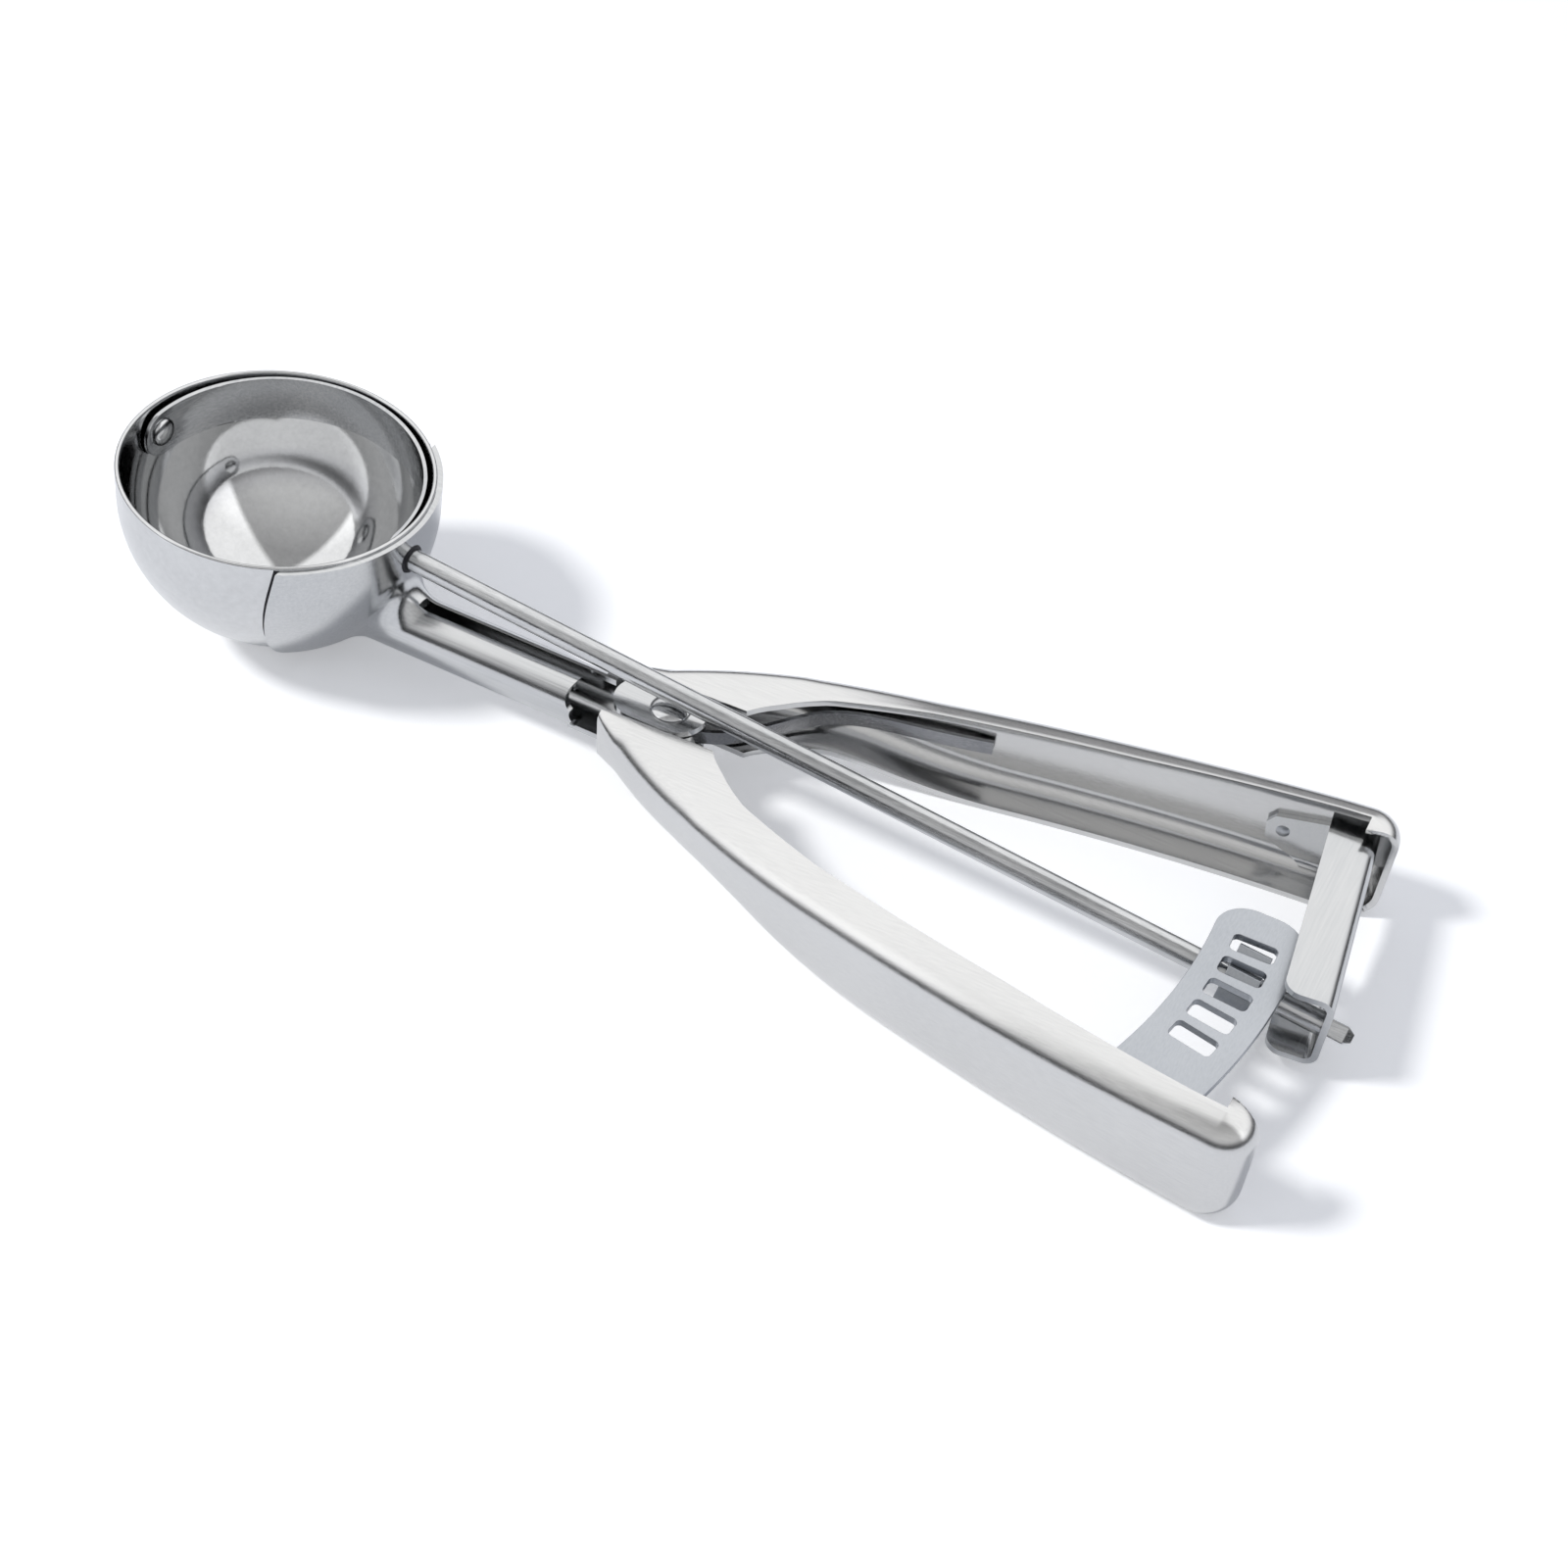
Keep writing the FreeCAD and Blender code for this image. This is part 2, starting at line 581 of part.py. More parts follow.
# Weld pips that hold the rack's tab to the wall of the moving handle
def weld_pips(spots, depth, side):
    """Low round pips on the inner face of a tab, one solid at each spot (x, z)."""
    pips = []
    for x, z in spots:
        y = outer_y(x) - sheet - wall_seat - depth
        pip = dome(0, 0, 0, pip_radius, pip_height, 1)
        pip.rotate(ORIGIN, X_AXIS, 90)
        pip.rotate(ORIGIN, Z_AXIS, wall_turn(x))
        pip.translate(V(x, y - 0.02, z))
        pips.append(pip)
    group = Part.makeCompound(pips)
    return group if side > 0 else mirrored(group)


def wall_turn(x):
    """Direction of the outer wall at x, in degrees."""
    return math.degrees(math.atan2(outer_y(x + 0.5) - outer_y(x - 0.5), 1.0))


rack_pip_z = rack_z0 - rack_tab_height / 2
rack_pips = weld_pips([(tab_x0 + 3, rack_pip_z), (tab_x1 - 3, rack_pip_z)], rack_tab_thickness, -1)
keep("rack_weld_pips", rack_pips)

# Bearing bracket: a flap welded inside the fixed handle, an arm across, and a channel for the rod
inside_fixed = handle_block(sheet + wall_seat)
leaf_x0 = bracket_wall_x - bracket_leaf_depth
arm_far_y = 2 * bowl_radius
channel_len = arm_far_y - bracket_near_y


def channel_block(inset):
    block = box(leaf_x0 - inset * 3, bracket_wall_x - inset, bracket_near_y - inset * 3, arm_far_y + inset * 3,
                bracket_bottom_z + inset, bracket_leaf_z - inset)
    rear = []
    for edge in block.Edges:
        if edge.Length > channel_len - 0.1 and edge.Vertexes[0].Point.x > bracket_wall_x - inset - 0.1:
            rear.append(edge)
    return block.makeFillet(bracket_bend - inset, rear)


bracket = channel_block(0).cut(channel_block(sheet))
lower_cut = Part.Face(Part.makePolygon([
    V(0, bracket_tongue_y, bracket_bottom_z - 5), V(0, bracket_tongue_y, bracket_bottom_z + sheet + 0.4),
    V(0, bowl_radius, bracket_arm_low_z), V(0, 2 * bowl_radius, bracket_arm_low_z),
    V(0, 2 * bowl_radius, bracket_bottom_z - 5), V(0, bracket_tongue_y, bracket_bottom_z - 5),
])).extrude(V(2 * bracket_wall_x, 0, 0))
bracket = bracket.cut(lower_cut)
corner_edges = []
for edge in bracket.Edges:
    a, b = edge.Vertexes[0].Point, edge.Vertexes[-1].Point
    upright = abs(a.x - b.x) < 0.01 and abs(a.y - b.y) < 0.01
    if upright and abs(a.x - leaf_x0) < 0.01 and edge.Length < sheet + 0.01:
        corner_edges.append(edge)
bracket = bracket.makeFillet(bracket_corner, corner_edges)
bracket.rotate(V(bracket_wall_x, 0, 0), Z_AXIS, bracket_turn)
handle_room = box(handle_front_x, handle_end_x + 20, -2 * bowl_radius, outer_y(heel_centre.x - 4) - flange_depth - 1, 0, bowl_radius)
bracket = bracket.common(handle_room.fuse(inside_fixed))
flap = Part.Face(Part.makePolygon([V(x, 0, z) for x, z in flap_outline + flap_outline[:1]]))
flap = flap.extrude(V(0, 2 * bowl_radius, 0))
flap = flap.common(inside_fixed.cut(handle_block(sheet + wall_seat + bracket_flap_thickness)))
bracket = bracket.fuse(flap)
bracket = bracket.cut(lay(bar(bracket_wall_x * 0.8, bracket_wall_x * 1.2, rod_radius + running_fit)))
keep("bearing_bracket", bracket)
flap_pips = weld_pips([flap_pip], bracket_flap_thickness, 1)
keep("bracket_weld_pip", flap_pips)

# Centre the whole scoop over the origin, standing on the table plane
bounds = FreeCAD.BoundBox()
for shape in nodes.values():
    bounds.add(shape.optimalBoundingBox(False))
shift = V(-(bounds.XMin + bounds.XMax) / 2, 0, 0)
triangles = 0
for name, shape in nodes.items():
    placed = shape.copy()
    placed.translate(shift)
    placed.exportStep("parts/%s.step" % name)
    count = len(placed.tessellate(0.1)[1])
    triangles += count
    print(name, "solids", len(placed.Solids), "valid", placed.isValid(), "volume", round(placed.Volume, 2), "facets", count)
print("box", bounds)
print("shift", shift, "facets in all", triangles)
print("pivot at", pivot_x + shift.x, "rod axis through", shift.x, bowl_radius, "falling", rod_slope)
print("rack to pinion ratio", rack_mid_radius / pitch_radius)
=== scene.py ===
import math

import bmesh
import bpy
from mathutils import Matrix, Vector
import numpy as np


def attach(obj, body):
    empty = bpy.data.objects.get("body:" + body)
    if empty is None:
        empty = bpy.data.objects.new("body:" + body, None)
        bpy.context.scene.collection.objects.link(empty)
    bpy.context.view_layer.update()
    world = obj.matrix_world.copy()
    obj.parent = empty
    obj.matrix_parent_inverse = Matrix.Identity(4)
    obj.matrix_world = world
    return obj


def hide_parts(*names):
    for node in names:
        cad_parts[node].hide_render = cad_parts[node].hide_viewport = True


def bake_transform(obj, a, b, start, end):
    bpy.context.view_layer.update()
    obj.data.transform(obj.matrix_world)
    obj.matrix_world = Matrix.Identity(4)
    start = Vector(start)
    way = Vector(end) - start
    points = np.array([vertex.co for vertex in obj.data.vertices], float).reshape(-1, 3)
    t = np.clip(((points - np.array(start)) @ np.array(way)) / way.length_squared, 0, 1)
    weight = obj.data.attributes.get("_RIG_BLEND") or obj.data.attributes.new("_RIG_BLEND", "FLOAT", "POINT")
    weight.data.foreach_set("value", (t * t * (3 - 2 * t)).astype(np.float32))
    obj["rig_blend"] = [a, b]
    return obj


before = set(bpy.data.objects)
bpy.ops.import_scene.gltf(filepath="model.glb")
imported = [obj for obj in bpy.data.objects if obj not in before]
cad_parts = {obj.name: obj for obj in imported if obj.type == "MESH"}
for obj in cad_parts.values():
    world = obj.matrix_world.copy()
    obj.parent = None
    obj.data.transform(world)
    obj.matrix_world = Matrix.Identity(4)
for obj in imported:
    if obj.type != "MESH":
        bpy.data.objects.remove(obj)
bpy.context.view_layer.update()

# Brushing: the fine parallel scratches that a polishing wheel or belt leaves in steel. A group
# for every steel on the scoop, which puts out how far each spot is scratched and smeared.
brushing = bpy.data.node_groups.new("brushing", "ShaderNodeTree")
for name, kind in (("Along", "NodeSocketVector"), ("Lines per metre", "NodeSocketFloat"),
                   ("Stretch", "NodeSocketFloat"), ("Smear size", "NodeSocketFloat")):
    brushing.interface.new_socket(name=name, in_out="INPUT", socket_type=kind)
brushing.interface.new_socket(name="Scratches", in_out="OUTPUT", socket_type="NodeSocketFloat")
brushing.interface.new_socket(name="Smears", in_out="OUTPUT", socket_type="NodeSocketFloat")
put_in = brushing.nodes.new("NodeGroupInput")
put_out = brushing.nodes.new("NodeGroupOutput")
squeeze = brushing.nodes.new("ShaderNodeVectorMath")
squeeze.operation = "MULTIPLY"
scale = brushing.nodes.new("ShaderNodeCombineXYZ")
scale.inputs[1].default_value = 1.0
scale.inputs[2].default_value = 1.0
brushing.links.new(put_in.outputs["Stretch"], scale.inputs[0])
brushing.links.new(put_in.outputs["Along"], squeeze.inputs[0])
brushing.links.new(scale.outputs[0], squeeze.inputs[1])
fine = brushing.nodes.new("ShaderNodeTexNoise")
fine.inputs["Detail"].default_value = 3.0
fine.inputs["Roughness"].default_value = 0.62
brushing.links.new(squeeze.outputs[0], fine.inputs["Vector"])
brushing.links.new(put_in.outputs["Lines per metre"], fine.inputs["Scale"])
broad = brushing.nodes.new("ShaderNodeTexNoise")
broad.inputs["Detail"].default_value = 4.0
brushing.links.new(put_in.outputs["Along"], broad.inputs["Vector"])
brushing.links.new(put_in.outputs["Smear size"], broad.inputs["Scale"])
brushing.links.new(fine.outputs[0], put_out.inputs["Scratches"])
brushing.links.new(broad.outputs[0], put_out.inputs["Smears"])


def steel(name, pale, dark, smooth, rough, lines, stretch, smear, depth, axis="X"):
    """Stainless steel: its two colours and roughnesses, and scratches that run along an axis."""
    made = bpy.data.materials.new(name)
    made.use_nodes = True
    tree = made.node_tree
    shader = tree.nodes["Principled BSDF"]
    shader.inputs["Metallic"].default_value = 1.0
    place = tree.nodes.new("ShaderNodeTexCoord")
    turn = tree.nodes.new("ShaderNodeMapping")
    turn.inputs["Rotation"].default_value = (0, 0, math.pi / 2 if axis == "Y" else 0)
    worn = tree.nodes.new("ShaderNodeGroup")
    worn.node_tree = brushing
    worn.inputs["Lines per metre"].default_value = lines
    worn.inputs["Stretch"].default_value = stretch
    worn.inputs["Smear size"].default_value = smear
    tree.links.new(place.outputs["Object"], turn.inputs["Vector"])
    tree.links.new(turn.outputs[0], worn.inputs["Along"])
    mixed = tree.nodes.new("ShaderNodeMath")
    mixed.operation = "MULTIPLY_ADD"
    mixed.inputs[1].default_value = 0.45
    halved = tree.nodes.new("ShaderNodeMath")
    halved.operation = "MULTIPLY"
    halved.inputs[1].default_value = 0.55
    tree.links.new(worn.outputs["Scratches"], halved.inputs[0])
    tree.links.new(worn.outputs["Smears"], mixed.inputs[0])
    tree.links.new(halved.outputs[0], mixed.inputs[2])
    tint = tree.nodes.new("ShaderNodeValToRGB")
    tint.color_ramp.elements[0].position = 0.32
    tint.color_ramp.elements[0].color = (*dark, 1)
    tint.color_ramp.elements[1].position = 0.62
    tint.color_ramp.elements[1].color = (*pale, 1)
    tree.links.new(mixed.outputs[0], tint.inputs[0])
    tree.links.new(tint.outputs[0], shader.inputs["Base Color"])
    gloss = tree.nodes.new("ShaderNodeMapRange")
    gloss.inputs["From Min"].default_value = 0.3
    gloss.inputs["From Max"].default_value = 0.7
    gloss.inputs["To Min"].default_value = smooth
    gloss.inputs["To Max"].default_value = rough
    tree.links.new(mixed.outputs[0], gloss.inputs["Value"])
    tree.links.new(gloss.outputs[0], shader.inputs["Roughness"])
    relief = tree.nodes.new("ShaderNodeBump")
    relief.inputs["Strength"].default_value = 0.35
    relief.inputs["Distance"].default_value = depth
    tree.links.new(worn.outputs["Scratches"], relief.inputs["Height"])
    tree.links.new(relief.outputs[0], shader.inputs["Normal"])
    return made


# Bowl: a 50 mm half ball drawn from 0.8 mm stainless sheet, with a short straight rim, polished
# bright inside and a little duller outside. The rod and the rivet fill its two holes, which
# aren't cut.
bowl_x = -0.079568
bowl_radius = 0.025
bowl_wall = 0.0008
bowl_rim = 0.0054
bowl_steps = 40
bowl_sides = 160
inside_straight = 0.0025
rod_slope = 0.1
rod_radius = 0.0018
lay = Matrix.Translation((bowl_x, 0, bowl_radius)) @ Matrix.Rotation(math.atan(rod_slope), 4, "Y")
mirror_steel = steel(
    "mirror_steel", pale=(0.66, 0.665, 0.67), dark=(0.58, 0.585, 0.59),
    smooth=0.05, rough=0.09, lines=900, stretch=1.0, smear=60, depth=0.00001)
tree = mirror_steel.node_tree
from_middle = tree.nodes.new("ShaderNodeVectorMath")
from_middle.operation = "DISTANCE"
from_middle.inputs[1].default_value = (bowl_x, 0, bowl_radius)
outside = tree.nodes.new("ShaderNodeMapRange")
for name, value in (("From Min", 0.0245), ("From Max", 0.0249), ("To Min", 0.0), ("To Max", 0.14)):
    outside.inputs[name].default_value = value
duller = tree.nodes.new("ShaderNodeMath")
duller.operation = "ADD"
inside_gloss = tree.nodes["Principled BSDF"].inputs["Roughness"].links[0].from_socket
tree.links.new(tree.nodes["Texture Coordinate"].outputs["Object"], from_middle.inputs[0])
tree.links.new(from_middle.outputs["Value"], outside.inputs["Value"])
tree.links.new(inside_gloss, duller.inputs[0])
tree.links.new(outside.outputs[0], duller.inputs[1])
tree.links.new(duller.outputs[0], tree.nodes["Principled BSDF"].inputs["Roughness"])


def finish_piece(name, mesh, material, sharp=0.6):
    """Put a finished mesh in the scene with its material, smooth except at its real edges."""
    piece = bpy.data.objects.new(name, mesh)
    bpy.context.collection.objects.link(piece)
    mesh.materials.clear()
    mesh.materials.append(material)
    mesh.polygons.foreach_set("use_smooth", [True] * len(mesh.polygons))
    mesh.set_sharp_from_angle(angle=sharp)
    return piece


def mesh_of(name, shape):
    """Mesh of a finished shape, which is let go."""
    made = bpy.data.meshes.new(name)
    shape.to_mesh(made)
    shape.free()
    return made


def applied(piece):
    """New mesh of a piece with its modifiers in it."""
    depsgraph = bpy.context.evaluated_depsgraph_get()
    return bpy.data.meshes.new_from_object(piece.evaluated_get(depsgraph))


def turned(profile, turns, place):
    """Mesh of a closed or pole-to-pole profile (radius, height) turned about the Z axis."""
    shape = bmesh.new()
    rings = []
    for radius, height in profile:
        if radius < 1e-7:
            rings.append([shape.verts.new(place @ Vector((0, 0, height)))])
            continue
        ring = []
        for k in range(turns):
            a = 2 * math.pi * k / turns
            spot = Vector((radius * math.cos(a), radius * math.sin(a), height))
            ring.append(shape.verts.new(place @ spot))
        rings.append(ring)
    for low, high in zip(rings, rings[1:]):
        for k in range(turns):
            n = (k + 1) % turns
            if len(low) == 1:
                shape.faces.new((low[0], high[n], high[k]))
            elif len(high) == 1:
                shape.faces.new((low[k], low[n], high[0]))
            else:
                shape.faces.new((low[k], low[n], high[n], high[k]))
    bmesh.ops.recalc_face_normals(shape, faces=shape.faces)
    return mesh_of("turned", shape)


bowl_profile = []
for k in range(bowl_steps + 1):
    a = math.pi / 2 * k / bowl_steps
    bowl_profile.append((bowl_radius * math.sin(a), -bowl_radius * math.cos(a)))
rim_bead = bowl_wall / 2
for k in range(1, 4):
    bowl_profile.append((bowl_radius, (bowl_rim - rim_bead) * k / 3))
for k in range(1, 9):
    a = math.pi * k / 8
    bowl_profile.append((bowl_radius - rim_bead + rim_bead * math.cos(a),
                         bowl_rim - rim_bead + rim_bead * math.sin(a)))
bowl_inside = bowl_radius - bowl_wall
bowl_profile.append((bowl_inside, inside_straight))
for k in range(bowl_steps + 1):
    a = math.pi / 2 * (1 - k / bowl_steps)
    bowl_profile.append((bowl_inside * math.sin(a), -bowl_inside * math.cos(a)))
bowl_mesh = turned(bowl_profile, bowl_sides, lay)
bowl_piece = finish_piece("bowl_cup", bowl_mesh, mirror_steel)
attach(bowl_piece, "frame")
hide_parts("bowl")

# Scraper blade: a thin spring-steel strip bent to the bowl's inside, with a round lug at each
# end. The rod carries its rear lug, the front rivet its other one. It is parked at the rim.
blade_gap = 0.00035
blade_outer = bowl_inside - blade_gap
blade_sheet = 0.0006
blade_half = 0.0042
blade_rest = math.radians(3)
blade_rows = 24
blade_length = 96
blade_steel = steel(
    "blade_steel", pale=(0.6, 0.605, 0.61), dark=(0.42, 0.43, 0.45),
    smooth=0.09, rough=0.22, lines=2500, stretch=0.05, smear=70, depth=0.00002, axis="Y")
blade_shape = bmesh.new()
blade_grid = []
for i in range(blade_rows + 1):
    u = math.pi * (i / blade_rows - 0.5)
    across = blade_half * math.sin(u)
    reach = -math.sqrt(max(blade_half ** 2 - across ** 2, 0))
    ring = math.sqrt(blade_outer ** 2 - across ** 2)
    start = math.asin(reach / ring)
    row = []
    for k in range(blade_length + 1):
        a = start + (math.pi - 2 * start) * k / blade_length
        row.append(blade_shape.verts.new(Vector((-ring * math.cos(a), ring * math.sin(a), across))))
    blade_grid.append(row)
for low, high in zip(blade_grid, blade_grid[1:]):
    for k in range(blade_length):
        blade_shape.faces.new((low[k], low[k + 1], high[k + 1], high[k]))
bmesh.ops.recalc_face_normals(blade_shape, faces=blade_shape.faces)
blade_mesh = mesh_of("blade", blade_shape)
blade_piece = finish_piece("blade_strip", blade_mesh, blade_steel)
thick = blade_piece.modifiers.new("sheet", "SOLIDIFY")
thick.thickness = blade_sheet
first_face = blade_mesh.polygons[0]
thick.offset = -1 if first_face.normal.dot(first_face.center) > 0 else 1
edge = blade_piece.modifiers.new("edge", "BEVEL")
edge.width = 0.00012
edge.segments = 2
blade_made = applied(blade_piece)
blade_piece.modifiers.clear()
blade_piece.data = blade_made
blade_made.transform(lay @ Matrix.Rotation(blade_rest, 4, "X"))
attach(blade_piece, "blade_shaft")
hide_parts("scraper_blade")

# Rivet heads, peened ends and weld pips: low round domes, all of the scoop's own steel. One tree
# of Geometry Nodes sets a dome on each point, turned along that point's own direction.
domes = bpy.data.node_groups.new("domes", "GeometryNodeTree")
entry_ids = []
for name, kind in (("Geometry", "NodeSocketGeometry"), ("Radius", "NodeSocketFloat"),
                   ("Height", "NodeSocketFloat"), ("Steel", "NodeSocketMaterial")):
    entry = domes.interface.new_socket(name=name, in_out="INPUT", socket_type=kind)
    entry_ids.append(entry.identifier)
domes.interface.new_socket(name="Geometry", in_out="OUTPUT", socket_type="NodeSocketGeometry")
dome_in = domes.nodes.new("NodeGroupInput")
dome_out = domes.nodes.new("NodeGroupOutput")
ball = domes.nodes.new("GeometryNodeMeshUVSphere")
ball.inputs["Segments"].default_value = 40
ball.inputs["Rings"].default_value = 24
ball.inputs["Radius"].default_value = 1.0
spot = domes.nodes.new("GeometryNodeInputPosition")
split = domes.nodes.new("ShaderNodeSeparateXYZ")
clamp = domes.nodes.new("ShaderNodeMath")
clamp.operation = "MAXIMUM"
clamp.inputs[1].default_value = -0.02
join = domes.nodes.new("ShaderNodeCombineXYZ")
stretch = domes.nodes.new("ShaderNodeVectorMath")
stretch.operation = "MULTIPLY"
sizes = domes.nodes.new("ShaderNodeCombineXYZ")
shape_dome = domes.nodes.new("GeometryNodeSetPosition")
heading = domes.nodes.new("GeometryNodeInputNamedAttribute")
heading.data_type = "FLOAT_VECTOR"
heading.inputs["Name"].default_value = "heading"
aim = domes.nodes.new("FunctionNodeAlignRotationToVector")
aim.axis = "Z"
stand = domes.nodes.new("GeometryNodeInstanceOnPoints")
real = domes.nodes.new("GeometryNodeRealizeInstances")
paint = domes.nodes.new("GeometryNodeSetMaterial")
tie = domes.links.new
tie(spot.outputs[0], split.inputs[0])
tie(split.outputs[0], join.inputs[0])
tie(split.outputs[1], join.inputs[1])
tie(split.outputs[2], clamp.inputs[0])
tie(clamp.outputs[0], join.inputs[2])
tie(dome_in.outputs["Radius"], sizes.inputs[0])
tie(dome_in.outputs["Radius"], sizes.inputs[1])
tie(dome_in.outputs["Height"], sizes.inputs[2])
tie(join.outputs[0], stretch.inputs[0])
tie(sizes.outputs[0], stretch.inputs[1])
tie(ball.outputs["Mesh"], shape_dome.inputs["Geometry"])
tie(stretch.outputs[0], shape_dome.inputs["Position"])
tie(dome_in.outputs["Geometry"], stand.inputs["Points"])
tie(shape_dome.outputs[0], stand.inputs["Instance"])
tie(heading.outputs[0], aim.inputs["Vector"])
tie(aim.outputs[0], stand.inputs["Rotation"])
tie(stand.outputs[0], real.inputs[0])
tie(real.outputs[0], paint.inputs["Geometry"])
tie(dome_in.outputs["Steel"], paint.inputs["Material"])
tie(paint.outputs[0], dome_out.inputs[0])


def dome_group(name, spots, radius, height, material):
    """Domes at the spots, each a place and a heading in the scoop's frame, as one plain mesh."""
    points = bpy.data.meshes.new(name)
    points.from_pydata([place for place, _ in spots], [], [])
    points.attributes.new("heading", "FLOAT_VECTOR", "POINT")
    for entry, (_, way) in zip(points.attributes["heading"].data, spots):
        entry.vector = way
    piece = bpy.data.objects.new(name, points)
    bpy.context.collection.objects.link(piece)
    made = piece.modifiers.new("domes", "NODES")
    made.node_group = domes
    for entry, value in zip(entry_ids[1:], (radius, height, material)):
        made[entry] = value
    mesh = applied(piece)
    bpy.data.objects.remove(piece)
    return finish_piece(name, mesh, material)


rivet_steel = steel(
    "rivet_steel", pale=(0.64, 0.645, 0.65), dark=(0.44, 0.45, 0.47),
    smooth=0.08, rough=0.2, lines=1500, stretch=0.6, smear=120, depth=0.00002)
rivet_sink = 0.00012
rivet_lift = 0.0002
along = lay.to_3x3() @ Vector((1, 0, 0))
front_outer = lay @ Vector((-bowl_radius + rivet_sink, 0, 0))
front_inner = lay @ Vector((-(blade_outer - blade_sheet - rivet_lift), 0, 0))
front_head = dome_group(
    "front_rivet_head", [(front_outer, -along)], radius=0.0029, height=0.0013, material=rivet_steel)
front_peen = dome_group(
    "front_rivet_peen", [(front_inner, along)], radius=0.0024, height=0.001, material=rivet_steel)
for piece in (front_head, front_peen):
    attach(piece, "frame")
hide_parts("blade_front_rivet")

# Blade rod: a straight drawn wire of 3.6 mm. It is peened over inside the blade, runs through the
# bowl and the bracket, and is squared and tapered behind the bracket.
rod_lift = 0.00026
rod_front = blade_outer - blade_sheet - rod_lift
rod_end = 0.186
rod_square = 0.0042
rod_taper = 0.0011
rod_sides = 64
rod_round = 1.2
rod_flats = 0.74
rod_tip = 0.7
rod_twist = math.radians(45)
rod_steel = steel(
    "rod_steel", pale=(0.66, 0.665, 0.67), dark=(0.46, 0.47, 0.48),
    smooth=0.12, rough=0.3, lines=5200, stretch=0.012, smear=90, depth=0.00003)
rod_shape = bmesh.new()
rod_rings = []
for x, flat, share in ((rod_front, rod_round, 1), (0.06, rod_round, 1), (0.12, rod_round, 1),
                       (rod_end - rod_square, rod_round, 1),
                       (rod_end - rod_square + 0.0002, rod_flats, 1),
                       (rod_end - rod_taper, rod_flats, 1),
                       (rod_end - 0.0001, rod_tip, 0.56), (rod_end, rod_tip, 0.5)):
    ring = []
    for k in range(rod_sides):
        a = 2 * math.pi * k / rod_sides
        reach = flat / max(abs(math.cos(a)), abs(math.sin(a)))
        size = rod_radius * min(1, reach) * share
        ring.append(rod_shape.verts.new(Vector((x, size * math.cos(a), size * math.sin(a)))))
    rod_rings.append(ring)
for low, high in zip(rod_rings, rod_rings[1:]):
    for k in range(rod_sides):
        n = (k + 1) % rod_sides
        rod_shape.faces.new((low[k], low[n], high[n], high[k]))
rod_shape.faces.new(rod_rings[0])
rod_shape.faces.new(rod_rings[-1])
bmesh.ops.recalc_face_normals(rod_shape, faces=rod_shape.faces)
rod_mesh = mesh_of("rod", rod_shape)
rod_mesh.transform(lay @ Matrix.Rotation(rod_twist, 4, "X"))
rod_piece = finish_piece("rod_wire", rod_mesh, rod_steel, sharp=0.35)
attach(rod_piece, "blade_shaft")
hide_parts("blade_rod")
rod_peen = dome_group(
    "rod_peened_end", [(lay @ Vector((rod_front, 0, 0)), -along)],
    radius=0.0026, height=0.0009, material=rivet_steel)
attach(rod_peen, "blade_shaft")


# Neck and collar: one pressed sheet, a cup that holds the bowl from behind, a slit tube with its
# lips turned in, and two round ears that hold the handle's lugs.
def smooth_copy(name, node, material, sharp, bevel):
    """Copy of a pressed sheet part, with its faces joined, smooth bends and softened edges."""
    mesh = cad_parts[node].data.copy()
    shape = bmesh.new()
    shape.from_mesh(mesh)
    bmesh.ops.remove_doubles(shape, verts=shape.verts, dist=1e-6)
    bmesh.ops.dissolve_degenerate(shape, edges=shape.edges, dist=1e-7)
    bmesh.ops.dissolve_limit(shape, angle_limit=0.003, verts=shape.verts, edges=shape.edges)
    shape.to_mesh(mesh)
    shape.free()
    for entry in list(mesh.attributes):
        if entry.name in ("custom_normal", "sharp_edge", "sharp_face"):
            mesh.attributes.remove(entry)
    piece = finish_piece(name, mesh, material, sharp)
    if bevel:
        edge = piece.modifiers.new("edge", "BEVEL")
        edge.width = bevel
        edge.segments = 2
        edge.limit_method = "ANGLE"
        edge.angle_limit = 0.9
        edge.harden_normals = True
        made = applied(piece)
        piece.modifiers.clear()
        piece.data = made
    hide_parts(node)
    return piece


neck_steel = steel(
    "neck_steel", pale=(0.62, 0.625, 0.63), dark=(0.5, 0.51, 0.52),
    smooth=0.12, rough=0.24, lines=2600, stretch=0.03, smear=60, depth=0.00002)
neck_piece = smooth_copy("neck_sheet", "neck_shank", neck_steel, sharp=0.6, bevel=0.0001)
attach(neck_piece, "frame")

# Collar seam and rod hole, both painted shade: a thin black strip stands in for the shade of the
# narrow gap in front of the collar's edge, and a small ring shaped like the hole's drawn rim is
# coloured black for the shade in the hole that the rod comes out of. Both lie on the bowl's outside.
# Near-black colours: painted shade of the collar's gap and of the rod's hole.
painted_gap_shade = steel(
    "painted_gap_shade", pale=(0.05, 0.05, 0.055), dark=(0.02, 0.02, 0.024),
    smooth=0.35, rough=0.55, lines=3000, stretch=0.3, smear=90, depth=0.00002)
gap_shade_width = 0.0011
gap_shade_lift = 0.00006
facing_front = -0.9


def on_bowl(spot, lift):
    """Nearest place to a spot on the bowl's outside, lifted off it by a little."""
    local = lay.inverted() @ spot
    height = max(local.z, 0)
    radial = Vector((local.x, local.y, local.z - height)).normalized() * (bowl_radius + lift)
    return lay @ (radial + Vector((0, 0, height)))
